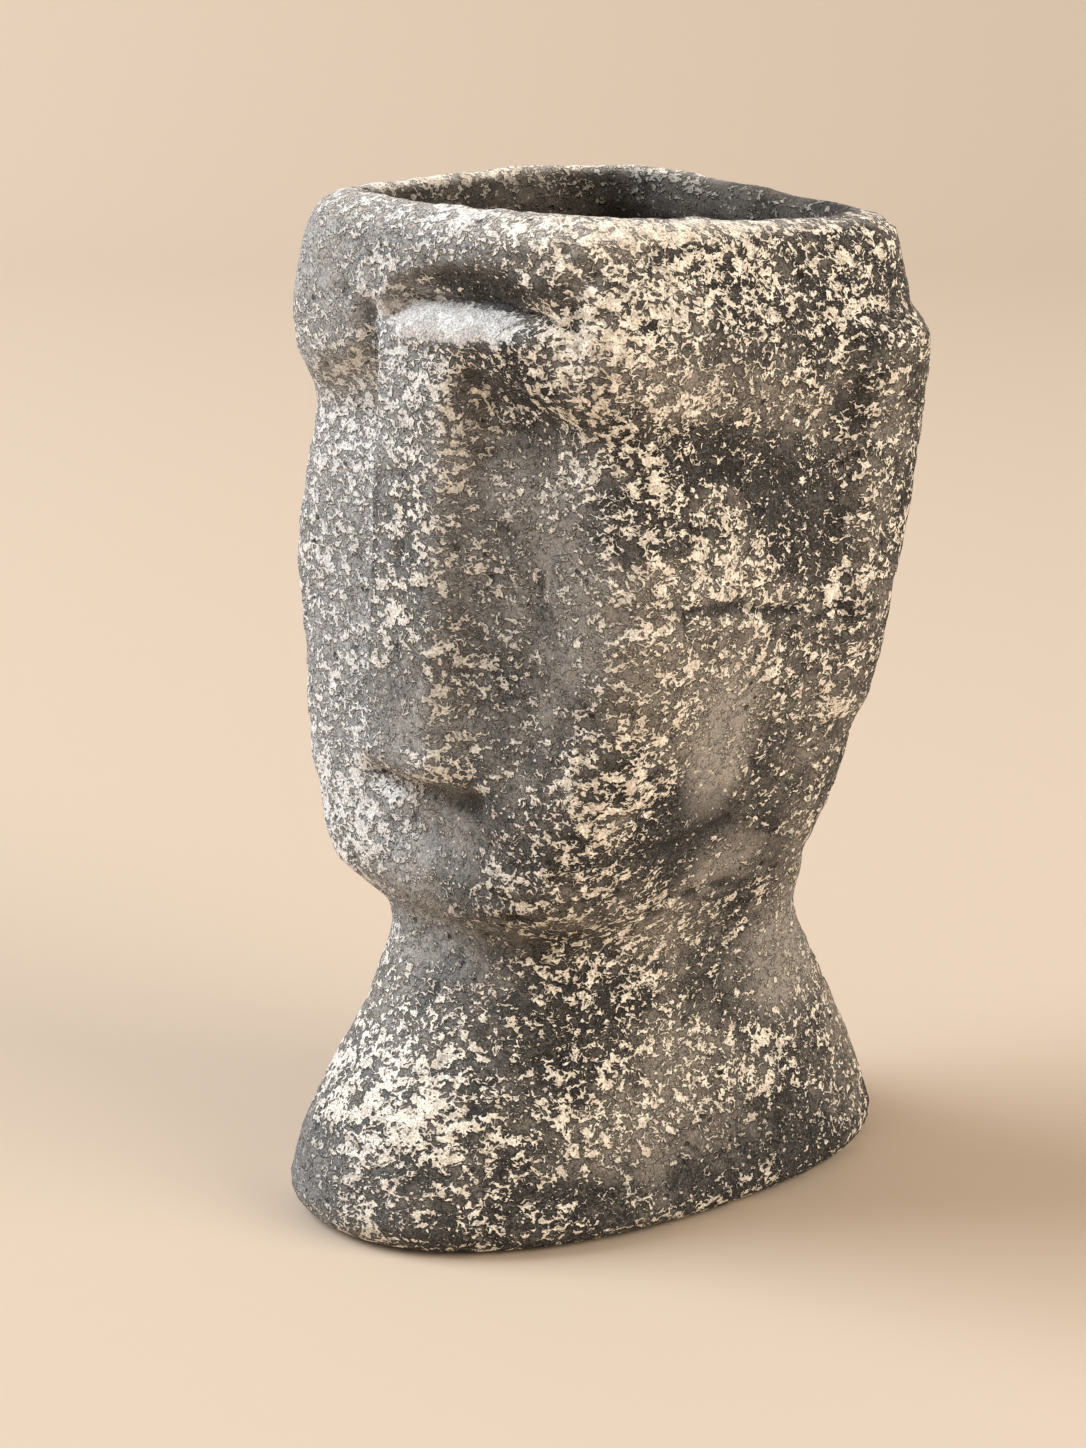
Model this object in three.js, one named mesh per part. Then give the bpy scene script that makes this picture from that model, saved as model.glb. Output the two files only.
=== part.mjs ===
// Stylised stone head that serves as a planter: one hollow casting, open at the top.
// Millimetres, +Z up. The face looks toward -Y and the head's own left side is +X.
// The origin is on the ground, under the middle of the bounding box.

import * as THREE from 'three';
import { mergeVertices } from 'three/addons/utils/BufferGeometryUtils.js';

// Driving dimensions
const HEIGHT = 320;
const WALL = 13;
const FLOOR = 16;

// The lip is a roll of clay, fuller on the outside
const LIP_OUTER_ROLL = 12;
const LIP_INNER_ROLL = 5;
const LIP_BLEND = 20;

// The rim sags at the rear corner of the left side: how far, at what bearing from +X
// in degrees, and how far down the wall it still shows
const SAG = { drop: 6.5, bearing: 35, reach: 55, falloff: 6 };

// Ground edge of the foot and the fillet round the floor of the hollow
const FOOT_ROLL = 9;
const FLOOR_FILLET = 8;

// Plan of the head at a height: half width, reach to front and back from the axis, how
// square the plan's front and rear corners are (2 is an oval), how far each half of the
// face sweeps back from the middle, and how far the sides splay toward the back, both in
// degrees.
function level(z, side, front, back, squareFront, squareBack, sweep, splay) {
  return { z, side, front, back, squareFront, squareBack, sweep, splay };
}

const FOOT = level(9, 69.5, 116, 98, 2.2, 2.5, 0, 0);
const SKIRT = level(24, 65.5, 112.5, 95, 2.2, 2.4, 0, 0);
const SHOULDER = level(42, 59.5, 102.5, 88.5, 2.3, 2.3, 0, 0);
const COLLAR = level(60, 54.5, 87, 78.5, 2.4, 2.4, 0, 0);
const THROAT = level(85, 52, 73, 64, 2.6, 2.6, 0, 0);
const UNDERJAW = level(95, 54, 73, 63.5, 3, 2.8, 1, 0);
const JAW = level(108, 60, 80.5, 59.5, 4.8, 3, 1, -1);
const CHIN = level(126, 67, 78.5, 65.5, 5.4, 3.3, 1, -2);
const MOUTH_LINE = level(146, 73, 76.5, 66, 6.4, 3.6, 1, -2);
const NOSTRIL = level(170, 79, 72, 66.5, 7, 4, 1, -3);
const CHEEK = level(198, 84, 70.5, 66.5, 7.4, 4.4, 1, -3);
const EYE = level(222, 83, 70, 73.5, 6.6, 4.5, 1, -2);
const EYELID = level(246, 80, 71, 82.5, 5.2, 4.5, 1, -1);
const BROW_EDGE = level(256, 80.5, 75.5, 83.5, 4.8, 4.5, 3, -1);
const BROW = level(270, 84, 80, 81.5, 5.6, 4.5, 5, -1.5);
const FOREHEAD = level(288, 82, 80, 77, 6, 4.6, 4, -0.5);
const LIP = level(308, 75, 80, 72, 6, 5, 2, 3);
const LEVELS = [
  FOOT, SKIRT, SHOULDER, COLLAR, THROAT, UNDERJAW, JAW, CHIN, MOUTH_LINE, NOSTRIL, CHEEK,
  EYE, EYELID, BROW_EDGE, BROW, FOREHEAD, LIP,
];

// Features of the face fade in over this stretch of depth, so the sides stay plain
const FACE_FROM = 20;
const FACE_FULL = 55;

// Nose: a long block with a flat top, standing proud of the face
const NOSE = {
  halfTop: 12,
  halfTip: 13,
  frontTop: 80.5,
  frontTip: 88,
  top: 285,
  topRoll: 9,
  tip: 151,
  under: 134,
  flank: 17,
};

// Hollow scooped out of the forehead just over the nose
const CRESCENT = { z: 288, above: 15, below: 6, halfWidth: 30, depth: 8 };

// Eye sockets: troughs beside the nose, under brows that fall to the temples. The brow's
// lower edge starts high at the nose, and `browBend` makes it drop mostly near the temple.
const SOCKET = {
  depth: 9.5,
  noseFrom: 12,
  noseFull: 27,
  templeFrom: 44,
  templeEnd: 80,
  browRoot: 282,
  browTemple: 254,
  browBend: 1.4,
  browEdge: 10,
  foot: 230,
  footBlend: 32,
};

// Dip between nose and chin
const MOUTH = { z: 129, halfHeight: 13, halfWidth: 34, depth: 4.5 };

// Ears: long raised slabs at the rear of each side
const EAR = {
  from: 27,
  to: 71,
  rearBlend: 9,
  top: 283,
  topEdge: 4,
  foot: 158,
  footEdge: 4.5,
  topProud: 7,
  footProud: 4.5,
  frontEdge: 5,
  sideFrom: 20,
  sideFull: 50,
};

// Surface rows and columns
const HEIGHTS_OUTSIDE = [
  9, 16, 24, 33, 42, 51, 60, 68, 77, 85, 90, 94, 98, 103, 108, 116, 125, 132, 137, 142, 147,
  152, 160, 170, 182, 196, 210, 224, 236, 246, 252, 258, 264, 270, 275, 279, 282, 285, 287,
  291, 296, 302, 308,
];
const HEIGHTS_INSIDE = [24, 42, 62, 85, 108, 140, 190, 246, 285, 308];
const ROLL_STEPS = 3;
const COLUMNS = 76;
const NOSE_COLUMNS = 20;
const NOSE_COLUMNS_SPREAD = 38;

// Distance above and below a height over which the slope of the wall is taken
const SLOPE_STEP = 10;
const WELD = 0.001;

const lerp = THREE.MathUtils.lerp;
const smooth = THREE.MathUtils.smoothstep;
const radians = THREE.MathUtils.degToRad;

// A bump that is 1 at 0 and fades to nothing at 1
function bump(t) {
  const rest = Math.max(0, 1 - t * t);
  return rest * rest;
}

// Smooth curve through one size of all the levels
function levelCurve(key) {
  const last = LEVELS.length - 1;
  const slopes = LEVELS.map((entry, i) => {
    const below = LEVELS[Math.max(0, i - 1)];
    const above = LEVELS[Math.min(last, i + 1)];
    return (above[key] - below[key]) / (above.z - below.z);
  });
  return (z) => {
    if (z <= LEVELS[0].z) return LEVELS[0][key];
    if (z >= LEVELS[last].z) return LEVELS[last][key];
    const i = LEVELS.findIndex((entry) => entry.z > z) - 1;
    const span = LEVELS[i + 1].z - LEVELS[i].z;
    const t = (z - LEVELS[i].z) / span;
    const t2 = t * t;
    const t3 = t2 * t;
    return (
      (2 * t3 - 3 * t2 + 1) * LEVELS[i][key] +
      (t3 - 2 * t2 + t) * span * slopes[i] +
      (3 * t2 - 2 * t3) * LEVELS[i + 1][key] +
      (t3 - t2) * span * slopes[i + 1]
    );
  };
}

const sideAt = levelCurve('side');
const frontAt = levelCurve('front');
const backAt = levelCurve('back');
const squareFrontAt = levelCurve('squareFront');
const squareBackAt = levelCurve('squareBack');
const sweepAt = levelCurve('sweep');
const splayAt = levelCurve('splay');

// Point of the plain body at a bearing: a box with two swept faces, a back and two
// splayed sides whose corners are rounded, drawn in by `inset` on every side.
function bodyPoint(bearing, z, inset) {
  const dx = Math.cos(bearing);
  const dy = Math.sin(bearing);
  const sweep = radians(sweepAt(z));
  const splay = radians(splayAt(z));
  const toSide = Math.max(0, Math.abs(dx) * Math.cos(splay) - dy * Math.sin(splay));
  const toFront = dy < 0 ? Math.abs(dx) * Math.sin(sweep) - dy * Math.cos(sweep) : 0;
  const toBack = Math.max(0, dy);
  const square = lerp(squareFrontAt(z), squareBackAt(z), smooth(dy, -0.5, 0.5));
  const sum =
    (toSide / (sideAt(z) - inset)) ** square +
    (toFront / (frontAt(z) - inset)) ** square +
    (toBack / (backAt(z) - inset)) ** square;
  const reach = sum ** (-1 / square);
  return new THREE.Vector3(reach * dx, reach * dy, z);
}

// Height of the brow's lower edge, from the nose out to the temple
function browHeight(across) {
  const t = Math.min(1, across / SOCKET.templeEnd);
  return lerp(SOCKET.browRoot, SOCKET.browTemple, t ** SOCKET.browBend);
}

// Depths scooped out of the face: eye sockets, the hollow over the nose and the mouth
function scoopDepth(across, z) {
  const brow = browHeight(across);
  const socket =
    smooth(across, SOCKET.noseFrom, SOCKET.noseFull) *
    (1 - smooth(across, SOCKET.templeFrom, SOCKET.templeEnd)) *
    smooth(z, SOCKET.foot, SOCKET.foot + SOCKET.footBlend) *
    (1 - smooth(z, brow - SOCKET.browEdge, brow));
  const crescentReach = z > CRESCENT.z ? CRESCENT.above : CRESCENT.below;
  const crescent = bump((z - CRESCENT.z) / crescentReach) * bump(across / CRESCENT.halfWidth);
  const mouth = bump((z - MOUTH.z) / MOUTH.halfHeight) * bump(across / MOUTH.halfWidth);
  return SOCKET.depth * socket + CRESCENT.depth * crescent + MOUTH.depth * mouth;
}

// Face features move a point of the front straight out or in along Y
function carveFace(point) {
  const { z } = point;
  const across = Math.abs(point.x);
  const facing = smooth(-point.y, FACE_FROM, FACE_FULL);
  point.y += facing * scoopDepth(across, z);

  const down = THREE.MathUtils.clamp((NOSE.top - z) / (NOSE.top - NOSE.tip), 0, 1);
  const half = lerp(NOSE.halfTop, NOSE.halfTip, down);
  const over = THREE.MathUtils.clamp((z - NOSE.top) / NOSE.topRoll + 1, 0, 1);
  const rolled = NOSE.topRoll * (1 - Math.sqrt(1 - over * over));
  const front = lerp(NOSE.frontTop, NOSE.frontTip, down) - rolled;
  const nose =
    (1 - smooth(across, half, half + NOSE.flank)) *
    smooth(z, NOSE.under, NOSE.tip) *
    (z > NOSE.top ? 0 : 1);
  const proud = Math.max(0, point.y + front);
  point.y -= facing * proud * nose;
}

// Ears move a point of the side straight out along X
function carveEar(point) {
  const { y, z } = point;
  const across = Math.abs(point.x);
  const down = THREE.MathUtils.clamp((EAR.top - z) / (EAR.top - EAR.foot), 0, 1);
  const ear =
    smooth(y, EAR.from - EAR.frontEdge, EAR.from + EAR.frontEdge) *
    (1 - smooth(y, EAR.to - EAR.rearBlend, EAR.to + EAR.rearBlend)) *
    smooth(z, EAR.foot - EAR.footEdge, EAR.foot + EAR.footEdge) *
    (1 - smooth(z, EAR.top - EAR.topEdge, EAR.top + EAR.topEdge));
  const outward = smooth(across, EAR.sideFrom, EAR.sideFull);
  point.x += Math.sign(point.x) * lerp(EAR.topProud, EAR.footProud, down) * ear * outward;
}

// The lip and the wall under it settle toward the sagging corner
function sag(point) {
  const away = Math.atan2(point.y, point.x) - radians(SAG.bearing);
  const near = Math.cos(away / 2) ** SAG.falloff;
  point.z -= SAG.drop * near * smooth(point.z, HEIGHT - SAG.reach, HEIGHT);
}

// Bearings of the columns, closer together across the nose
function columnBearings() {
  const facing = -Math.PI / 2;
  const spread = radians(NOSE_COLUMNS_SPREAD);
  const rest = 2 * Math.PI - spread;
  const restColumns = COLUMNS - NOSE_COLUMNS;
  const bearings = [];
  for (let i = 0; i < NOSE_COLUMNS; i += 1) {
    bearings.push(facing - spread / 2 + (spread * i) / NOSE_COLUMNS);
  }
  for (let i = 0; i < restColumns; i += 1) {
    bearings.push(facing + spread / 2 + (rest * i) / restColumns);
  }
  bearings.push(bearings[0]);
  return bearings;
}

// Inset of the inner wall: thicker along the level where the wall leans, so that its
// thickness across stays true, and growing into the lip at the top
function innerInset(z) {
  const rise = 2 * SLOPE_STEP;
  const slope = Math.abs(frontAt(z + SLOPE_STEP) - frontAt(z - SLOPE_STEP)) / rise;
  const lipBase = HEIGHT - LIP_OUTER_ROLL;
  const nearLip = smooth(z, lipBase - LIP_BLEND, lipBase);
  return lerp(WALL * Math.hypot(1, slope), LIP_OUTER_ROLL + LIP_INNER_ROLL, nearLip);
}

// Rows of the wall's profile, from the middle of the underside up the outside, over the
// lip and down the inside to the middle of the floor.
function wallRows() {
  const rows = [{ z: 0, centre: true }];
  const lipBase = HEIGHT - LIP_OUTER_ROLL;
  const quarterStep = Math.PI / 2 / ROLL_STEPS;
  for (let i = 0; i < ROLL_STEPS; i += 1) {
    const a = quarterStep * i;
    rows.push({ z: FOOT_ROLL * (1 - Math.cos(a)), inset: FOOT_ROLL * (1 - Math.sin(a)) });
  }
  for (const z of HEIGHTS_OUTSIDE) rows.push({ z, inset: 0, carved: true });
  for (let i = 1; i <= ROLL_STEPS; i += 1) {
    const a = quarterStep * i;
    rows.push({
      z: lipBase + LIP_OUTER_ROLL * Math.sin(a),
      inset: LIP_OUTER_ROLL * (1 - Math.cos(a)),
    });
  }
  for (let i = 1; i <= ROLL_STEPS; i += 1) {
    const a = quarterStep * i;
    rows.push({
      z: HEIGHT - LIP_INNER_ROLL * (1 - Math.cos(a)),
      inset: LIP_OUTER_ROLL + LIP_INNER_ROLL * Math.sin(a),
    });
  }
  for (const z of [...HEIGHTS_INSIDE].reverse()) rows.push({ z, inset: innerInset(z) });
  rows.push({ z: FLOOR, inset: WALL + FLOOR_FILLET });
  rows.push({ z: FLOOR, centre: true });
  return rows;
}

// The casting starts as a lathe-turned wall, and each turned point is then moved to
// where the head's own plan and features put it.
function headGeometry() {
  const rows = wallRows();
  const profile = rows.map((row) => new THREE.Vector2(row.centre ? 0 : 1, row.z));
  const geometry = new THREE.LatheGeometry(profile, COLUMNS);
  geometry.deleteAttribute('normal');
  geometry.deleteAttribute('uv');
  const position = geometry.getAttribute('position');
  columnBearings().forEach((bearing, column) => {
    rows.forEach((row, index) => {
      const point = row.centre
        ? new THREE.Vector3(0, 0, row.z)
        : bodyPoint(bearing, row.z, row.inset);
      if (row.carved) {
        carveFace(point);
        carveEar(point);
      }
      sag(point);
      position.setXYZ(column * rows.length + index, point.x, point.y, point.z);
    });
  });
  const closed = mergeVertices(geometry, WELD);
  closed.computeBoundingBox();
  const middle = closed.boundingBox.getCenter(new THREE.Vector3());
  closed.translate(-middle.x, -middle.y, 0);
  closed.computeVertexNormals();
  return closed;
}

const castStone = new THREE.MeshStandardMaterial({
  name: 'weathered cast stone',
  color: '#857d73',
  roughness: 0.95,
  metalness: 0,
});

const head = new THREE.Mesh(headGeometry(), castStone);
head.name = 'planter_head';

const planter = new THREE.Group();
planter.name = 'moai_head_planter';
planter.add(head);

export default planter;
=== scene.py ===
"""Looks of the moai head planter: one cast body, rough-modelled and sponged with a cream wash."""

import math

import bpy
import numpy as np
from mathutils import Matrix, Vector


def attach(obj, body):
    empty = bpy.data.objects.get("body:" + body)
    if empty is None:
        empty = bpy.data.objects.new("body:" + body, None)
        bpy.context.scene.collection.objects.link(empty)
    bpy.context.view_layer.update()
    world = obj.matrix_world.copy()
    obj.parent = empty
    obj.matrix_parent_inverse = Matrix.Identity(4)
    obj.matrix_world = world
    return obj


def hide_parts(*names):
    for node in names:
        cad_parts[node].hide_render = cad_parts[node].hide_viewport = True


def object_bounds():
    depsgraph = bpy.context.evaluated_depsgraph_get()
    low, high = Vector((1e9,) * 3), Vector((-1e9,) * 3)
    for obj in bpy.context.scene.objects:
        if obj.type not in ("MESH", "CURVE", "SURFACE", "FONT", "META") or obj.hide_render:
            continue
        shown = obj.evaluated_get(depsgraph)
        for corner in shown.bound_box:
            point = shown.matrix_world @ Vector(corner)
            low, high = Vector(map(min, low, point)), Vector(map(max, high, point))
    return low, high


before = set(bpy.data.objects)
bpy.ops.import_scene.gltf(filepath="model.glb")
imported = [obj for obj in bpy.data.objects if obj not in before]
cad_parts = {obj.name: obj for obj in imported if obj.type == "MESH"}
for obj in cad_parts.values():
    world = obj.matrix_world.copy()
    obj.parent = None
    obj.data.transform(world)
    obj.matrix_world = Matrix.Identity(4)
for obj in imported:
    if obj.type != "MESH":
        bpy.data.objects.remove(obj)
cad_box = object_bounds()

# The photograph's view: the camera stands off the head's left front, a little above the rim
AZIMUTH = math.radians(48)
PITCH = math.radians(14.5)
DISTANCE = 1.128
AIM = (-0.0084, -0.0094, 0.1481)
LENS = 87.02

# The casting's worked surface: the spacing of its points in metres, and the share of its
# faces that the plain hollow keeps
SPACING = 0.0018
HOLLOW_SHARE = 0.2

# From here on, places and sizes on the head are in millimetres of the part's own frame
RIM = 320
FLOOR = 16

# The forehead's front: how far it lies before the head's middle, at some distances to
# the side
FRONT_AT = (0, 10, 20, 30, 40, 50, 60, 68, 80)
FRONT_DEPTH = (71, 70.6, 70.2, 69.7, 68.9, 67.3, 63.5, 56, 30)

# The ledge over the nose: the height of its back edge from side to side, how far behind
# the forehead's front it starts, and how far and how low its lip rolls forward
LEDGE_AT = (-16, -4, 26, 42, 55, 66)
LEDGE_BACK = (283, 290, 291.5, 290, 289, 286)
LEDGE_INSET = 6.0
LIP_ROLL = 8.0
LIP_HEIGHT = 9

# The scoop above the ledge: its top edge from side to side, its depth, and that of the
# crease at its foot
SCOOP_AT = (-16, -8, 8, 23, 33, 45, 54, 64)
SCOOP_TOP = (290, 297, 302, 304, 305, 301, 297, 289)
SCOOP_DEPTH = 8.0
CREASE_DEPTH = 2.2

# The nose: how deep its undercut and far flank go, and how full its tip and near flank are
UNDERCUT = 6.5
FAR_FLANK_DEPTH = 4.2
TIP_SWELL = 1.8
NEAR_FLANK_SWELL = 1.8

# Strokes of the modeller's tools: start, end, half width and depth. Those under the
# narrow width also show in the finish
STROKES = (
    ((85, -41, 204), (85, -9, 202), 3.0, 1.6),
    ((85, -9, 202), (84, 17, 197), 3.2, 2.0),
    ((83, 0, 190), (84, 35, 195), 2.8, 1.2),
    ((60, -65, 289), (79, -45, 290), 3.2, 1.4),
    ((80, -27, 245), (81, 10, 238), 4.0, 1.6),
    ((81, 14, 257), (84, 37, 255), 3.0, 1.5),
    ((82, 4, 232), (83, 30, 224), 5.0, 1.4),
    ((62, -55, 124), (68, -29, 127), 2.8, 1.3),
    ((68, -29, 127), (68, -1, 130), 3.2, 1.7),
    ((59, -19, 105), (59, 9, 107), 3.2, 1.4),
    ((47, -35, 74), (50, -22, 81), 3.2, 1.6),
    ((50, -66, 104), (40, -66, 104), 3.2, 2.0),
    ((78, -46, 168), (79, -30, 205), 7.0, 0.8),
    ((64, -24, 120), (68, 8, 134), 8.0, 0.9),
)
NARROW_STROKE = 6

# Patches on the skin: the middle and reach of each, and its strength. First where the
# cream wash is thick, and where it is thin; the thin patch under the nose's tip is painted shadow
THICK_WASH = (
    ((60, 10, 298), (60, 100, 40), 1.0),
    ((66, -52, 294), (36, 36, 28), 0.6),
    ((0, -95, 48), (50, 40, 40), 0.8),
    ((80, -10, 215), (30, 30, 18), 0.6),
    ((80, 55, 215), (40, 44, 100), 0.7),
    ((-45, -60, 210), (38, 40, 90), 0.2),
    ((4, -78, 225), (18, 26, 46), 0.3),
    ((47, -35, 66), (40, 46, 34), 0.4),
    ((56, -10, 44), (40, 64, 24), 0.5),
    ((54, -22, 92), (28, 40, 30), 0.8),
)
THIN_WASH_AND_SHADE = (
    ((78, -13, 160), (30, 22, 34), 0.9),
    ((36, -62, 195), (40, 30, 75), 0.6),
    ((10, -66, 100), (45, 30, 36), 0.8),
    ((9, -67, 129), (30, 22, 20), 0.8),
    ((-50, -60, 300), (45, 28, 30), 0.5),
    ((3, -80, 167), (20, 20, 28), 1.0),
    ((54, -56, 205), (32, 36, 56), 0.45),
    ((34, -68, 128), (24, 20, 24), 0.5),
    # Painted shadow under the nose's tip
    ((12, -68, 138), (24, 18, 9), 0.9),
    ((-6, -64, 96), (30, 24, 26), 0.6),
    ((66, 10, 112), (30, 40, 20), 0.5),
    ((50, 46, 72), (30, 36, 26), 0.6),
    ((64, 0, 20), (40, 80, 17), 0.9),
    ((-18, -104, 18), (36, 36, 24), 0.9),
    ((70, -20, 132), (24, 24, 24), 0.5),
)

# Where the cement is stained charcoal or taupe, and where it is rubbed pale. Some charcoal
# patches are painted shade: under the nose's tip, in the near eye socket under the brow and along
# the nose's far edge
CHARCOAL_AND_SHADE = (
    ((82, 14, 228), (30, 34, 26), 1.0),
    ((80, -14, 249), (30, 40, 16), 0.8),
    ((68, -20, 132), (30, 26, 28), 1.0),
    ((70, 10, 298), (50, 100, 40), 0.5),
    # Painted shade in the near eye socket under the brow
    ((40, -66, 262), (30, 30, 22), 0.7),
    ((44, -45, 75), (30, 45, 36), 0.6),
    ((50, 0, 4), (90, 140, 26), 0.75),
    ((-20, -100, 20), (40, 40, 26), 0.7),
    # Painted shadow under the nose's tip
    ((16, -68, 139), (24, 18, 8), 1.0),
    ((-2, -78, 226), (17, 12, 46), 0.6),
    # Painted shade along the nose's far edge
    ((-14, -77, 215), (6, 12, 72), 0.9),
    ((2, -80, 166), (16, 14, 20), 0.3),
)
TAUPE = (
    ((54, -54, 205), (36, 40, 64), 1.0),
    ((56, 14, 50), (40, 60, 26), 0.7),
    ((40, -62, 160), (30, 24, 22), 0.6),
    ((34, -68, 126), (28, 22, 30), 0.8),
)
PALE = (
    ((78, -13, 160), (30, 20, 34), 0.6),
    ((50, 46, 72), (30, 36, 30), 0.5),
    ((70, 2, 113), (20, 24, 18), 0.4),
)

# Where the grey veil and its painted light are missing, and where the sponge's marks slope
BARE = (
    ((2, -78, 205), (17, 12, 80), 0.6),
    # Painted shade along the nose's far edge
    ((-14, -77, 215), (5, 10, 72), 0.9),
    ((10, -70, 128), (28, 18, 24), 0.5),
    ((5, -74, 106), (44, 20, 16), 0.6),
)
SLANTED = (((60, -20, 108), (46, 66, 48), 1.0),)

# The ledge's top, pale and painted lighter still as a highlight where light falls on it, and the
# painted shade of the recess over it
LEDGE_TOP_AND_HIGHLIGHT = (((15, -69, 286.5), (44, 22, 8.5), 1.0),)
# Painted shade in the recess over the ledge
RECESS_SHADE = (((25, -62, 298.5), (43, 18, 9.5), 1.0),)


# Working a surface


def take_up(obj):
    """Select one object alone and make it the active one."""
    bpy.ops.object.select_all(action="DESELECT")
    obj.select_set(True)
    bpy.context.view_layer.objects.active = obj


def apply_modifier(obj, name, kind, **settings):
    """Put a modifier on the object and apply it at once."""
    take_up(obj)
    modifier = obj.modifiers.new(name, kind)
    for key, value in settings.items():
        setattr(modifier, key, value)
    bpy.ops.object.modifier_apply(modifier=name)


def smoothstep(low, high, value):
    """0 below low, 1 above high and a soft step between; low may be above high."""
    t = np.clip((value - low) / (high - low), 0, 1)
    return t * t * (3 - 2 * t)


def mound(value):
    """1 at 0, fading softly to 0 at -1 and 1."""
    return np.clip(1 - value * value, 0, None) ** 2


def lattice(corner):
    """A fixed random height from -1 to 1 for each whole-numbered corner."""
    wave = np.sin(corner @ np.array([127.1, 311.7, 74.7])) * 43758.5453
    return 2 * (wave - np.floor(wave)) - 1


def lumps(points, size, seed):
    """Soft random lumps and hollows, from -1 to 1, about `size` mm across."""
    cell = points / size + seed * np.array([12.7, 31.1, 7.9])
    base = np.floor(cell)
    part = cell - base
    part = part * part * (3 - 2 * part)
    total = np.zeros(len(points))
    for corner in np.ndindex(2, 2, 2):
        weight = np.ones(len(points))
        for axis, far in enumerate(corner):
            weight *= part[:, axis] if far else 1 - part[:, axis]
        total += weight * lattice(base + corner)
    return total


def along(points, start, end, width):
    """1 on the line from start to end, fading out `width` mm away from it."""
    start = np.array(start, float)
    end = np.array(end, float)
    line = end - start
    t = np.clip((points - start) @ line / (line @ line), 0, 1)
    away = np.linalg.norm(points - start - t[:, None] * line, axis=1)
    return mound(away / width)


def places(points, patches):
    """The soft patches of one kind added up, each 1 or less in its middle."""
    total = np.zeros(len(points))
    for middle, reach, strength in patches:
        away = np.linalg.norm((points - middle) / reach, axis=1)
        total += strength * smoothstep(1.0, 0.35, away)
    return total


class Surface:
    """The casting's vertices as arrays in millimetres, to be worked on."""

    def __init__(self, obj):
        self.mesh = obj.data
        count = len(self.mesh.vertices)
        flat = np.empty(count * 3, np.float32)
        self.mesh.vertices.foreach_get("co", flat)
        self.points = flat.reshape(-1, 3).astype(float) * 1000
        ends = np.empty(len(self.mesh.edges) * 2, np.int32)
        self.mesh.edges.foreach_get("vertices", ends)
        self.ends = ends.reshape(-1, 2)
        self.look_again()

    def look_again(self):
        """Put the points back in the mesh and read its normals."""
        flat = (self.points / 1000).astype(np.float32).ravel()
        self.mesh.vertices.foreach_set("co", flat)
        self.mesh.update()
        normals = np.empty(len(self.points) * 3, np.float32)
        self.mesh.vertex_normals.foreach_get("vector", normals)
        self.normals = normals.reshape(-1, 3).astype(float)

    def push(self, height):
        """Move every point along its normal by its own height."""
        self.points += self.normals * height[:, None]

    def relaxed(self, rounds):
        """The points after each has gone towards its neighbours' middle some times."""
        first, second = self.ends[:, 0], self.ends[:, 1]
        count = np.bincount(self.ends.ravel(), minlength=len(self.points))[:, None]
        points = self.points.copy()
        for _ in range(rounds):
            total = np.zeros_like(points)
            for axis in range(3):
                total[:, axis] = np.bincount(
                    first, points[second, axis], len(points)
                ) + np.bincount(second, points[first, axis], len(points))
            points = 0.5 * points + 0.5 * total / count
        return points

    def keep(self, name, value):
        """Store a value for each point, for the material to read."""
        layer = self.mesh.attributes.new(name, "FLOAT", "POINT")
        layer.data.foreach_set("value", value.astype(np.float32))


# Modelling the head


def rough_casting():
    """A copy of the casting's solid, welded and given an even, softened surface."""
    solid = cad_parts["planter_head"]
    body = bpy.data.objects.new("head_casting", solid.data.copy())
    bpy.context.collection.objects.link(body)
    body.data.materials.clear()
    take_up(body)
    bpy.ops.object.mode_set(mode="EDIT")
    bpy.ops.mesh.select_all(action="SELECT")
    bpy.ops.mesh.remove_doubles(threshold=1e-5)
    bpy.ops.object.mode_set(mode="OBJECT")
    bpy.ops.mesh.customdata_custom_splitnormals_clear()
    apply_modifier(body, "even", "REMESH", mode="VOXEL", voxel_size=SPACING)
    apply_modifier(body, "soften", "SMOOTH", factor=0.5, iterations=3)
    return body


def inner_wall(surface):
    """1 on the walls and floor of the hollow, 0 on the outside."""
    outward = surface.points * (1, 1, 0)
    outward /= np.linalg.norm(outward, axis=1)[:, None] + 1e-6
    facing = np.einsum("ij,ij->i", outward, surface.normals)
    z = surface.points[:, 2]
    wall = smoothstep(0.35, -0.15, facing) * smoothstep(RIM - 0.5, RIM - 4, z)
    bottom = (z > FLOOR - 3) & (z < FLOOR + 12) & (surface.normals[:, 2] > 0.3)
    near_axis = np.hypot(surface.points[:, 0] / 55, surface.points[:, 1] / 95) < 1
    return np.maximum(wall * (z > FLOOR), (bottom & near_axis).astype(float))


def widen_hollow_net(body):
    """Give the plain hollow a wider net of faces than the worked outside."""
    surface = Surface(body)
    deep = (inner_wall(surface) > 0.5) & (surface.points[:, 2] < RIM - 12)
    take_up(body)
    bpy.ops.object.mode_set(mode="EDIT")
    bpy.ops.mesh.select_mode(type="VERT")
    bpy.ops.mesh.select_all(action="DESELECT")
    bpy.ops.object.mode_set(mode="OBJECT")
    body.data.vertices.foreach_set("select", deep)
    bpy.ops.object.mode_set(mode="EDIT")
    bpy.ops.mesh.decimate(ratio=HOLLOW_SHARE)
    bpy.ops.object.mode_set(mode="OBJECT")


def soften(surface, mask, rounds):
    """Relax the surface where the mask is 1, and leave it where the mask is 0."""
    surface.points += (surface.relaxed(rounds) - surface.points) * mask[:, None]


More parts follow.
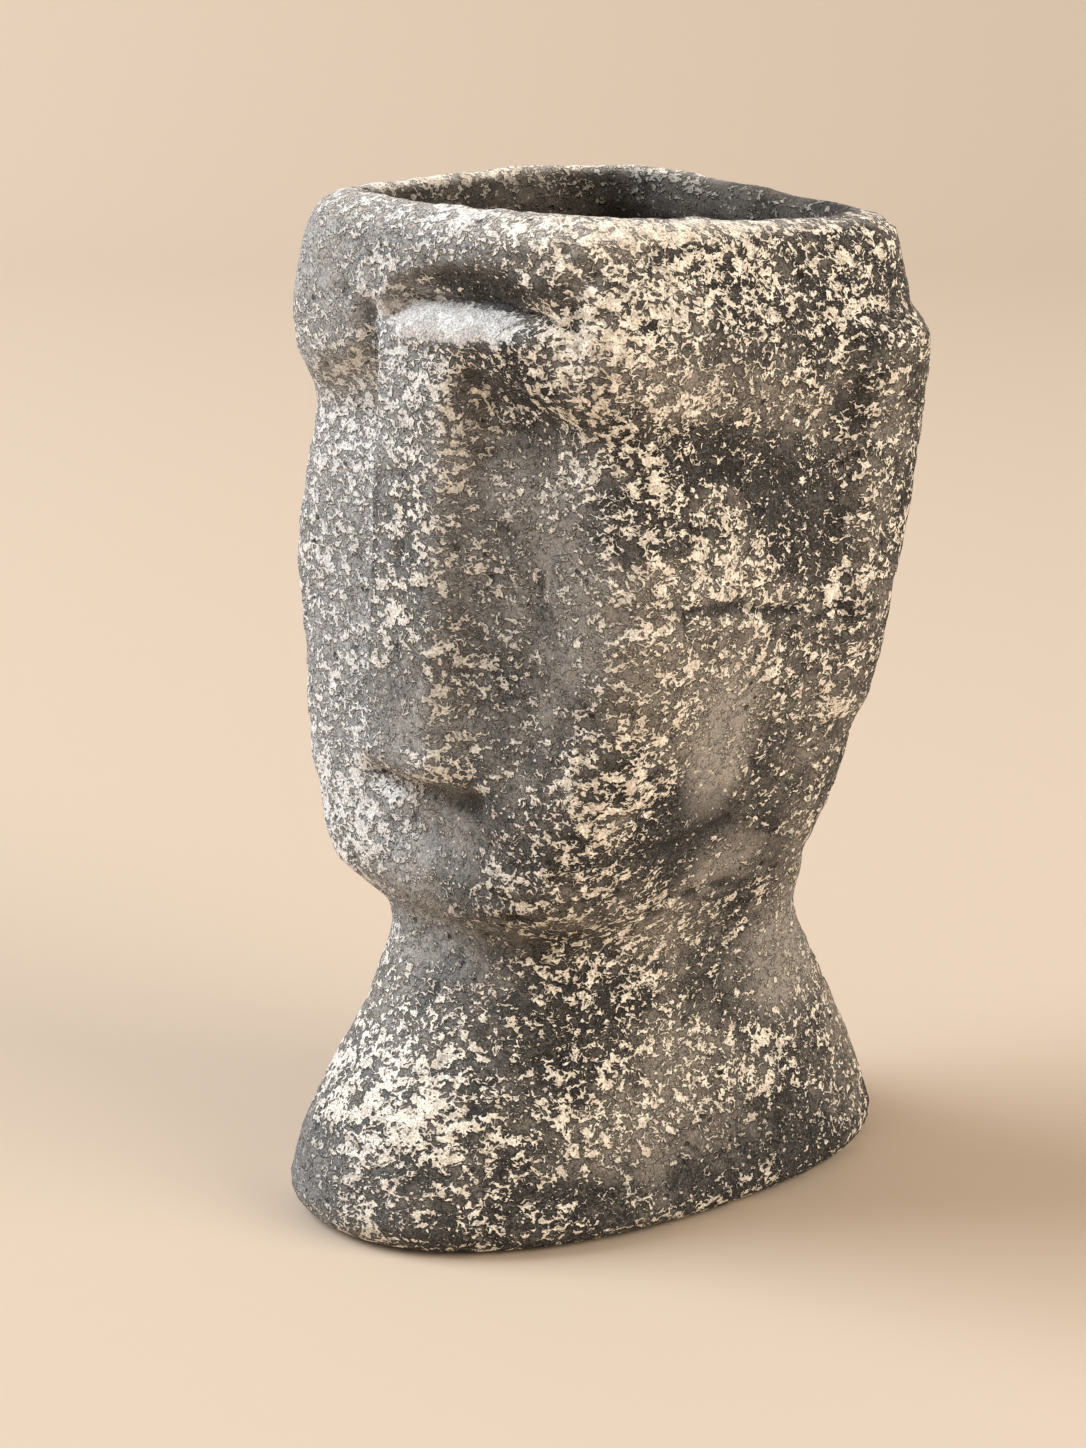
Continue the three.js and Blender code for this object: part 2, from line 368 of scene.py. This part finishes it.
def shape_ledge(surface, outside):
    """Model the nose's top as a rolled ledge that tapers off to the head's left."""
    x, y, z = surface.points.T
    forehead = -np.interp(np.abs(x), FRONT_AT, FRONT_DEPTH)
    back_edge = np.interp(x, LEDGE_AT, LEDGE_BACK)
    top_edge = np.interp(x, SCOOP_AT, SCOOP_TOP)
    span = smoothstep(-17, -4, x) * smoothstep(66, 44, x)
    rise = np.clip((top_edge - z) / (top_edge - back_edge), 0, 1)
    scoop = forehead + SCOOP_DEPTH * span * rise**0.8
    roll = np.clip((back_edge - z) / LIP_HEIGHT, 0, 1)
    brink = forehead + span * (LEDGE_INSET - LIP_ROLL * np.sin(roll * math.pi / 2))
    wanted = np.where(z > back_edge, scoop, brink)
    reach = smoothstep(-36, -26, x) * smoothstep(70, 60, x)
    band = smoothstep(276, 281, z) * smoothstep(312, 306, z)
    front = smoothstep(-44, -52, y) * outside
    surface.points[:, 1] += (wanted - y) * reach * band * front
    crease = mound((z - back_edge - 0.8) / 1.8) * smoothstep(-8, 2, x)
    crease *= smoothstep(60, 46, x)
    surface.points[:, 1] += CREASE_DEPTH * crease * front


def shape_nose(surface, outside):
    """Undercut the nose's tip, steepen its far flank and soften its near one."""
    x, y, z = surface.points.T
    front = smoothstep(-44, -56, y) * outside
    under = mound((z - 139) / 8) * smoothstep(34, 16, np.abs(x))
    surface.points[:, 1] += UNDERCUT * under * front
    tip = mound((z - 150) / 8) * smoothstep(24, 14, np.abs(x))
    surface.points[:, 1] -= TIP_SWELL * tip * front
    far_flank = mound((x + 22) / 9) * smoothstep(142, 152, z) * smoothstep(294, 282, z)
    surface.points[:, 1] += FAR_FLANK_DEPTH * far_flank * front
    near_flank = mound((x - 31) / 15) * smoothstep(140, 160, z) * smoothstep(262, 240, z)
    surface.points[:, 1] -= NEAR_FLANK_SWELL * near_flank * front
    soften(surface, near_flank * front, 12)
    brow = smoothstep(238, 250, z) * smoothstep(284, 276, z) * smoothstep(20, 32, np.abs(x))
    soften(surface, brow * smoothstep(-20, -34, y) * outside, 18)


def carve_strokes(surface, outside):
    """Draw the wavering, broken tool strokes, and say where the narrow ones run."""
    p = surface.points
    still = 0 * p[:, 0]
    wander = np.stack([still, still, 2.2 * lumps(p, 9, 11) + 1.2 * lumps(p, 4, 12)], axis=1)
    broken = np.clip(0.75 + 0.9 * lumps(p, 6, 13), 0, 1) * outside
    cut = np.zeros(len(p))
    for start, end, width, depth in STROKES:
        mark = along(p + wander, start, end, width) * broken
        surface.push(-depth * mark)
        if width < NARROW_STROKE:
            cut = np.maximum(cut, mark)
    return cut


def weather(surface, outside):
    """Hand-modelled unevenness, sponged daubs and pits, fading out at the ground."""
    p = surface.points
    z = p[:, 2]
    clear = smoothstep(1.5, 10, z)
    stretched = p * (1, 1, 1.25)
    broad = 0.7 * lumps(p, 42, 1) + 0.28 * lumps(stretched, 19, 2)
    daub = lumps(stretched, 7.2, 5) + 0.5 * lumps(p, 4.1, 6)
    plate = smoothstep(-0.05, 0.3, daub)
    fine = 0.16 * lumps(p, 5.2, 3) + 0.26 * lumps(p, 3.6, 4)
    pits = smoothstep(0.55, 0.78, lumps(p, 6.5, 7))
    skin = 0.35 * plate + fine - 0.7 * pits - 0.4
    rim = 0.5 * smoothstep(RIM - 26, RIM - 8, z) * lumps(p, 13, 8)
    surface.push(clear * (broad * outside + skin * (outside * 0.9 + 0.1) + rim))
    surface.push((1 - outside) * clear * (0.9 * lumps(p, 12, 9) + 0.45 * lumps(p, 6, 10)))
    return plate * outside


def stay_inside(surface):
    """Hold every point inside the solid's box, with its underside flat on the ground."""
    low, high = (np.array(corner) * 1000 for corner in cad_box)
    surface.points = np.clip(surface.points, low, high)


def front_veil_and_light(p, recess_shade, head, inside):
    """The grey veil over the face, partly painted light: strongest at its far, lit side, gone by
    the near cheek.
    """
    nearness = p[:, 0] - 14 * smoothstep(270, 300, p[:, 2])
    veil_and_light = smoothstep(44, -12, nearness) * smoothstep(-18, -50, p[:, 1])
    kept = (1 - recess_shade) * (1 - 0.75 * places(p, BARE)) * (0.45 + 0.55 * head)
    kept = kept * np.clip(1 + 0.5 * lumps(p, 24, 26), 0, 1)
    return veil_and_light * (kept * (1 - inside))


def keep_finish(surface, sunk, plates, cut, inside):
    """Say for each point how the wash, the stain and the veil lie on it, and the painted light
    and shade among them.
    """
    p = surface.points
    z = p[:, 2]
    thin_and_shade = places(p, THIN_WASH_AND_SHADE)
    charcoal_and_shade = places(p, CHARCOAL_AND_SHADE)
    # Painted shade in the recess over the ledge
    recess_shade = places(p, RECESS_SHADE)
    rim = smoothstep(RIM - 11, RIM - 5, z)
    head = smoothstep(70, 95, z)
    veil_and_light = front_veil_and_light(p, recess_shade, head, inside)
    # Less wash in the recess, and on some charcoal patches, is painted shade
    cover = (
        0.262
        + 0.050 * lumps(p, 62, 21)
        + 0.045 * lumps(p, 20, 22)
        + 0.03 * plates
        + 0.075 * places(p, THICK_WASH)
        + 0.08 * rim
        - 0.085 * thin_and_shade
        - 0.08 * inside
        + 0.01 * veil_and_light
        - 0.015 * smoothstep(30, 60, p[:, 0]) * head
        - 0.045 * charcoal_and_shade
        - 0.15 * recess_shade
        - 0.08 * cut
    )
    # The recess term is painted shade, and in part so is the charcoal term
    stain_and_shade = (
        0.5
        + 0.13 * lumps(p, 45, 23)
        + 0.10 * lumps(p, 22, 24)
        + 0.09 * lumps(p, 11, 25)
        + 0.03 * thin_and_shade
        + 0.09 * places(p, TAUPE)
        - 0.20 * charcoal_and_shade
        - 0.30 * recess_shade
        - 0.18 * cut
    )
    surface.keep("hollow", np.clip(sunk / 0.45, -1, 1))
    # The hollow's wall grows darker further down from the rim: painted shade
    surface.keep("inside", inside * (0.75 + 0.25 * smoothstep(RIM - 6, RIM - 40, z)))
    surface.keep("worn_and_shade", np.clip(thin_and_shade, 0, 1))
    surface.keep("cover", cover)
    surface.keep("stain_and_shade", stain_and_shade)
    surface.keep("veil_and_light", veil_and_light)
    surface.keep("pale", np.clip(places(p, PALE) + rim * (1 - inside), 0, 1))
    surface.keep("slant", places(p, SLANTED))
    surface.keep("ledge_and_highlight", np.clip(places(p, LEDGE_TOP_AND_HIGHLIGHT), 0, 1))


# Materials


class Wire:
    """A socket of a material's tree; sums written on it add Math nodes."""

    def __init__(self, finish, socket):
        self.finish = finish
        self.socket = socket

    def maths(self, operation, first, second):
        """A Math node on two wires or numbers."""
        sockets = {0: first, 1: second}
        return self.finish.node("ShaderNodeMath", {"operation": operation}, sockets)

    def __add__(self, other):
        return self.maths("ADD", self, other)

    __radd__ = __add__

    def __sub__(self, other):
        return self.maths("SUBTRACT", self, other)

    def __rsub__(self, other):
        return self.maths("SUBTRACT", other, self)

    def __mul__(self, other):
        return self.maths("MULTIPLY", self, other)

    __rmul__ = __mul__

    def higher(self, other):
        """The greater of the two at each place."""
        return self.maths("MAXIMUM", self, other)

    def size(self):
        """The value without its sign."""
        return self.maths("ABSOLUTE", self, 0)

    def step(self, low, high):
        """0 at low, 1 at high and a soft step between."""
        sockets = {"Value": self, "From Min": low, "From Max": high}
        return self.finish.node(
            "ShaderNodeMapRange", {"interpolation_type": "SMOOTHSTEP"}, sockets
        )


class Finish:
    """A material under construction."""

    def __init__(self, name):
        self.material = bpy.data.materials.new(name)
        self.material.use_nodes = True
        self.tree = self.material.node_tree
        self.tree.nodes.clear()
        self.shader = self.tree.nodes.new("ShaderNodeBsdfPrincipled")
        output = self.tree.nodes.new("ShaderNodeOutputMaterial")
        self.tree.links.new(self.shader.outputs[0], output.inputs["Surface"])
        self.place = self.node("ShaderNodeTexCoord", {}, {}, "Object")

    def node(self, kind, settings, sockets, output=0):
        """Any node: its type, its settings, and the values or wires of its sockets."""
        node = self.tree.nodes.new(kind)
        for key, value in settings.items():
            setattr(node, key, value)
        for key, value in sockets.items():
            self.feed(node.inputs[key], value)
        return Wire(self, node.outputs[output])

    def feed(self, socket, value):
        """Give a socket of a node a wire or a plain value."""
        if isinstance(value, Wire):
            self.tree.links.new(value.socket, socket)
        else:
            socket.default_value = value

    def shade(self, name, value):
        """Give a socket of the shader itself a wire or a plain value."""
        self.feed(self.shader.inputs[name], value)

    def noise(self, place, scale, detail=2.0, roughness=0.5, distortion=0.0, output=0):
        """Soft noise around 0.5; `scale` counts its lumps in a metre."""
        sockets = {
            "Vector": place,
            "Scale": scale,
            "Detail": detail,
            "Roughness": roughness,
            "Distortion": distortion,
        }
        return self.node("ShaderNodeTexNoise", {}, sockets, output)

    def threads(self, place, scale, distortion, width):
        """Thin wandering threads: 1 on them, 0 at `width` of the noise to either side."""
        away = self.noise(place, scale, 1, 0.5, distortion) - 0.5
        return away.size().step(width, 0.0)

    def cells(self, place, scale):
        """Distance from the middle of scattered cells."""
        sockets = {"Vector": place, "Scale": scale}
        return self.node("ShaderNodeTexVoronoi", {}, sockets, "Distance")

    def shift(self, place, by, amount):
        """The place moved by up to `amount` metres, following a colour `by`."""
        centred = self.node(
            "ShaderNodeVectorMath",
            {"operation": "SUBTRACT"},
            {0: by, 1: (0.5, 0.5, 0.5)},
        )
        return self.node(
            "ShaderNodeVectorMath",
            {"operation": "MULTIPLY_ADD"},
            {0: centred, 1: (amount, amount, amount), 2: place},
        )

    def mix(self, share, first, second, blend="MIX"):
        """Two colours mixed: the first at share 0, the second at share 1."""
        settings = {"data_type": "RGBA", "blend_type": blend}
        sockets = {0: share, 6: first, 7: second}
        return self.node("ShaderNodeMix", settings, sockets, 2)

    def kept(self, name):
        """A value that the surface keeps at each of its points."""
        return self.node("ShaderNodeAttribute", {"attribute_name": name}, {}, "Fac")

    def turned(self, place, turn, stretch):
        """The place seen in a turned frame, drawn out along its axes."""
        sockets = {"Vector": place, "Rotation": turn, "Scale": stretch}
        return self.node("ShaderNodeMapping", {"vector_type": "TEXTURE"}, sockets)


def colour(red, green, blue):
    """A linear colour, not see-through."""
    return (red, green, blue, 1.0)


CHARCOAL_CEMENT = colour(0.040, 0.037, 0.034)
TAUPE_CEMENT = colour(0.262, 0.226, 0.190)
HAIR_TAN = colour(0.42, 0.38, 0.33)
# The veil's tones, partly painted light on the face's far side
VEIL_GREY_AND_LIGHT = colour(0.44, 0.42, 0.40)
VEIL_THREAD_AND_LIGHT = colour(0.70, 0.67, 0.63)
WORN_PALE = colour(0.50, 0.445, 0.39)
HOLLOW_DARK = colour(0.036, 0.034, 0.033)
# The hollow's brown wall, darkened further as painted shade
INNER_BROWN_AND_SHADE = colour(0.050, 0.036, 0.026)
CREAM_DULL = colour(0.68, 0.59, 0.48)
CREAM_CLEAN = colour(0.94, 0.85, 0.71)
CREAM_VEILED_AND_LIT = colour(0.69, 0.665, 0.635)
# The ledge top's tones, partly a painted highlight
LEDGE_SHADE = colour(0.60, 0.55, 0.50)
LEDGE_LIGHT = colour(0.74, 0.70, 0.65)
PIT_DARK = colour(0.025, 0.022, 0.020)
GRAIN_LOW = colour(0.62, 0.62, 0.62)
GRAIN_HIGH = colour(1.3, 1.3, 1.3)
PAPER = colour(0.60, 0.475, 0.358)


def cast_stone():
    """Grey-brown cement with charcoal stain, a sponged cream wash and fine pits, with light and
    shade painted in places.
    """
    finish = Finish("cast_stone")
    place = finish.place
    hollow = finish.kept("hollow")
    inside = finish.kept("inside")
    cover = finish.kept("cover")
    stain_and_shade = finish.kept("stain_and_shade")
    veil_and_light = finish.kept("veil_and_light")
    pale = finish.kept("pale")
    slant = finish.kept("slant")
    worn_and_shade = finish.kept("worn_and_shade")
    ledge_and_highlight = finish.kept("ledge_and_highlight")

    # The sponge's marks waver, lie level on the head and slope on the near jaw and neck
    ripple = finish.shift(place, finish.noise(place, 430, 1, output=1), 0.0022)
    sloped = finish.turned(ripple, (math.radians(28), 0, 0), (1, 2.4, 1))
    ripple = finish.turned(ripple, (0, 0, 0), (1.15, 1.15, 0.82))

    # How thick the wash was daubed on
    blot = finish.noise(ripple, 400, 1.5, 0.5, 0.6)
    blot = blot * (1 - slant) + finish.noise(sloped, 470, 1.5, 0.5, 0.4) * slant
    coarse = finish.noise(ripple, 175, 1, 0.5)
    web = finish.threads(ripple, 215, 0.9, 0.080)
    mesh = finish.threads(ripple, 350, 0.9, 0.10)
    daub = blot * 0.60 + coarse * 0.38 + web * 0.110 + mesh * 0.080 + cover

    # Cream stays where it is thick, less in the hollows, the worn places and the painted shadow
    # under the nose
    hole = finish.cells(ripple, 620).step(0.17, 0.28)
    wash = daub.step(0.862, 0.886) * hole
    dash = finish.cells(ripple, 470).step(0.30, 0.22)
    dash = dash * finish.noise(place, 300, 1).step(0.555, 0.575)
    cream = wash.higher(dash * 0.9) * (1 - hollow.step(0.3, 1.0) * 0.5)
    cream = cream * (1 - inside * 0.9) * (1 - worn_and_shade * 0.4)

    # The cement under it, with the painted light of the veil and painted shade down the hollow's
    # wall
    tone = finish.noise(ripple, 150, 2, 0.65)
    hair = finish.threads(ripple, 400, 1.5, 0.06)
    stained_and_shaded = (stain_and_shade + tone * 0.45).step(0.58, 0.92)
    ground = finish.mix(stained_and_shaded, CHARCOAL_CEMENT, TAUPE_CEMENT)
    ground = finish.mix(hair * 0.25, ground, HAIR_TAN)
    # The veil: grey wash in part, and in part painted light on the face's far side
    ground = finish.mix(veil_and_light * 0.62, ground, VEIL_GREY_AND_LIGHT)
    ground = finish.mix(mesh * veil_and_light * 0.45, ground, VEIL_THREAD_AND_LIGHT)
    ground = finish.mix(pale, ground, WORN_PALE)
    # Darker in the hollows
    ground = finish.mix(hollow.step(0.0, 0.9) * 0.6, ground, HOLLOW_DARK)
    # The hollow's brown wall with painted shade deeper down
    ground = finish.mix(inside * 0.75, ground, INNER_BROWN_AND_SHADE)

    # Wash, the ledge's pale top with its painted highlight, pits and grain over the cement
    fresh = finish.noise(place, 300, 2).step(0.35, 0.65)
    wash_tone = finish.mix(fresh, CREAM_DULL, CREAM_CLEAN)
    wash_tone = finish.mix(veil_and_light * 0.8, wash_tone, CREAM_VEILED_AND_LIT)
    skin = finish.mix(cream, ground, wash_tone)
    # The ledge's pale top, painted lighter as a highlight where light falls
    ledge_and_highlight = (ledge_and_highlight + daub * 3).step(2.74, 2.98) * ledge_and_highlight.step(0.05, 0.30)
    ledge_tone = finish.mix(coarse.step(0.40, 0.62), LEDGE_SHADE, LEDGE_LIGHT)
    skin = finish.mix(ledge_and_highlight * 0.88, skin, ledge_tone)
    pit = finish.cells(ripple, 130).step(0.17, 0.08)
    pit = pit * finish.noise(place, 70, 1).step(0.52, 0.56)
    skin = finish.mix(pit * 0.85, skin, PIT_DARK)
    speck = finish.noise(place, 1500, 1, 0.6)
    grain = finish.mix(speck.step(0.25, 0.75), GRAIN_LOW, GRAIN_HIGH)
    finish.shade("Base Color", finish.mix(1.0, skin, grain, "MULTIPLY"))
    finish.shade("Roughness", 0.97 - cream * 0.12 + speck * 0.03)
    finish.shade("Specular IOR Level", 0.25)

    # The daubs stand up, the ledge is smoothed and the pits sink in
    raised = daub.step(0.76, 0.92) * (1 - inside * 0.5) * (1 - ledge_and_highlight * 0.8)
    relief = {
        "Strength": 1.0,
        "Distance": 0.0014,
        "Height": raised * 1.1 + speck * 0.14 - pit * 0.9,
    }
    finish.shade("Normal", finish.node("ShaderNodeBump", {}, relief))
    return finish.material


def plain_paper():
    """Warm matt studio paper for the floor and backdrop."""
    finish = Finish("studio_paper")
    finish.shade("Base Color", PAPER)
    finish.shade("Roughness", 0.9)
    finish.shade("Specular IOR Level", 0.1)
    return finish.material


# The planter

casting = rough_casting()
widen_hollow_net(casting)
surface = Surface(casting)
inside = inner_wall(surface)
shape_ledge(surface, 1 - inside)
shape_nose(surface, 1 - inside)
surface.look_again()
cut = carve_strokes(surface, 1 - inside)
surface.look_again()
plates = weather(surface, 1 - inside)
stay_inside(surface)
surface.look_again()
sunk = np.einsum("ij,ij->i", surface.relaxed(6) - surface.points, surface.normals)
keep_finish(surface, sunk, plates, cut, inside)
take_up(casting)
bpy.ops.object.shade_smooth()
casting.data.materials.append(cast_stone())
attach(casting, "root")
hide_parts("planter_head")


# The studio

# In metres: the paper's floor, how far behind the head its wall stands and how high, the
# width of the curve between them, and the height that the lamps aim at
PAPER_FLOOR = 16
WALL_BEHIND = 2.2
WALL_HEIGHT = 6
CURVE_WIDTH = 1.75
HEAD_MIDDLE = 0.16


def studio_sweep():
    """Floor that curves up into a backdrop square to the camera."""
    bpy.ops.object.select_all(action="DESELECT")
    middle = (0, WALL_BEHIND - PAPER_FLOOR / 2, 0)
    bpy.ops.mesh.primitive_plane_add(size=PAPER_FLOOR, location=middle)
    sweep = bpy.context.object
    sweep.name = "studio_sweep"
    bpy.ops.object.mode_set(mode="EDIT")
    bpy.ops.mesh.select_mode(type="EDGE")
    bpy.ops.mesh.select_all(action="DESELECT")
    bpy.ops.object.mode_set(mode="OBJECT")
    for edge in sweep.data.edges:
        edge.select = all(sweep.data.vertices[i].co.y > 0 for i in edge.vertices)
    bpy.ops.object.mode_set(mode="EDIT")
    rise = (0, 0, WALL_HEIGHT)
    bpy.ops.mesh.extrude_region_move(TRANSFORM_OT_translate={"value": rise})
    bpy.ops.object.mode_set(mode="OBJECT")
    bend = {"width": CURVE_WIDTH, "segments": 32, "limit_method": "ANGLE"}
    apply_modifier(sweep, "curve", "BEVEL", affect="EDGES", **bend)
    sweep.rotation_euler = (0, 0, AZIMUTH)
    take_up(sweep)
    bpy.ops.object.transform_apply(location=True, rotation=True, scale=True)
    bpy.ops.object.shade_smooth()
    sweep.data.materials.append(plain_paper())


def soft_box(name, bearing, elevation, distance, size, power, tint):
    """A square soft light aimed at the head; bearing is from the camera, leftward."""
    data = bpy.data.lights.new(name, "AREA")
    data.shape = "SQUARE"
    data.size = size
    data.energy = power
    data.color = tint
    lamp = bpy.data.objects.new(name, data)
    bpy.context.collection.objects.link(lamp)
    turn = AZIMUTH - math.radians(bearing)
    rise = math.radians(elevation)
    lamp.location = (
        distance * math.cos(rise) * math.sin(turn),
        -distance * math.cos(rise) * math.cos(turn),
        HEAD_MIDDLE + distance * math.sin(rise),
    )
    lamp.rotation_euler = (math.pi / 2 - rise, 0, turn)


def photo_camera():
    """The camera at the photograph's angle and distance."""
    data = bpy.data.cameras.new("photo_camera")
    data.sensor_width = 36
    data.lens = LENS
    data.clip_end = 50
    camera = bpy.data.objects.new("photo_camera", data)
    bpy.context.collection.objects.link(camera)
    back = (
        math.sin(AZIMUTH) * math.cos(PITCH),
        -math.cos(AZIMUTH) * math.cos(PITCH),
        math.sin(PITCH),
    )
    camera.location = [a + DISTANCE * b for a, b in zip(AIM, back)]
    camera.rotation_euler = (math.pi / 2 - PITCH, 0, AZIMUTH)
    bpy.context.scene.camera = camera


def soft_world(tint, strength):
    """Even light from all round."""
    world = bpy.data.worlds.new("soft_world")
    world.use_nodes = True
    background = world.node_tree.nodes["Background"]
    background.inputs["Color"].default_value = tint
    background.inputs["Strength"].default_value = strength
    bpy.context.scene.world = world


studio_sweep()
soft_box("key_light", 99, 39, 5.4, 3.8, 405, (0.76, 0.87, 1.0))
soft_box("side_fill", -60, 28, 3.4, 2.4, 80, (1.0, 0.93, 0.84))
soft_world(colour(1.0, 0.93, 0.85), 0.58)
photo_camera()
bpy.context.scene.view_settings.view_transform = "Standard"
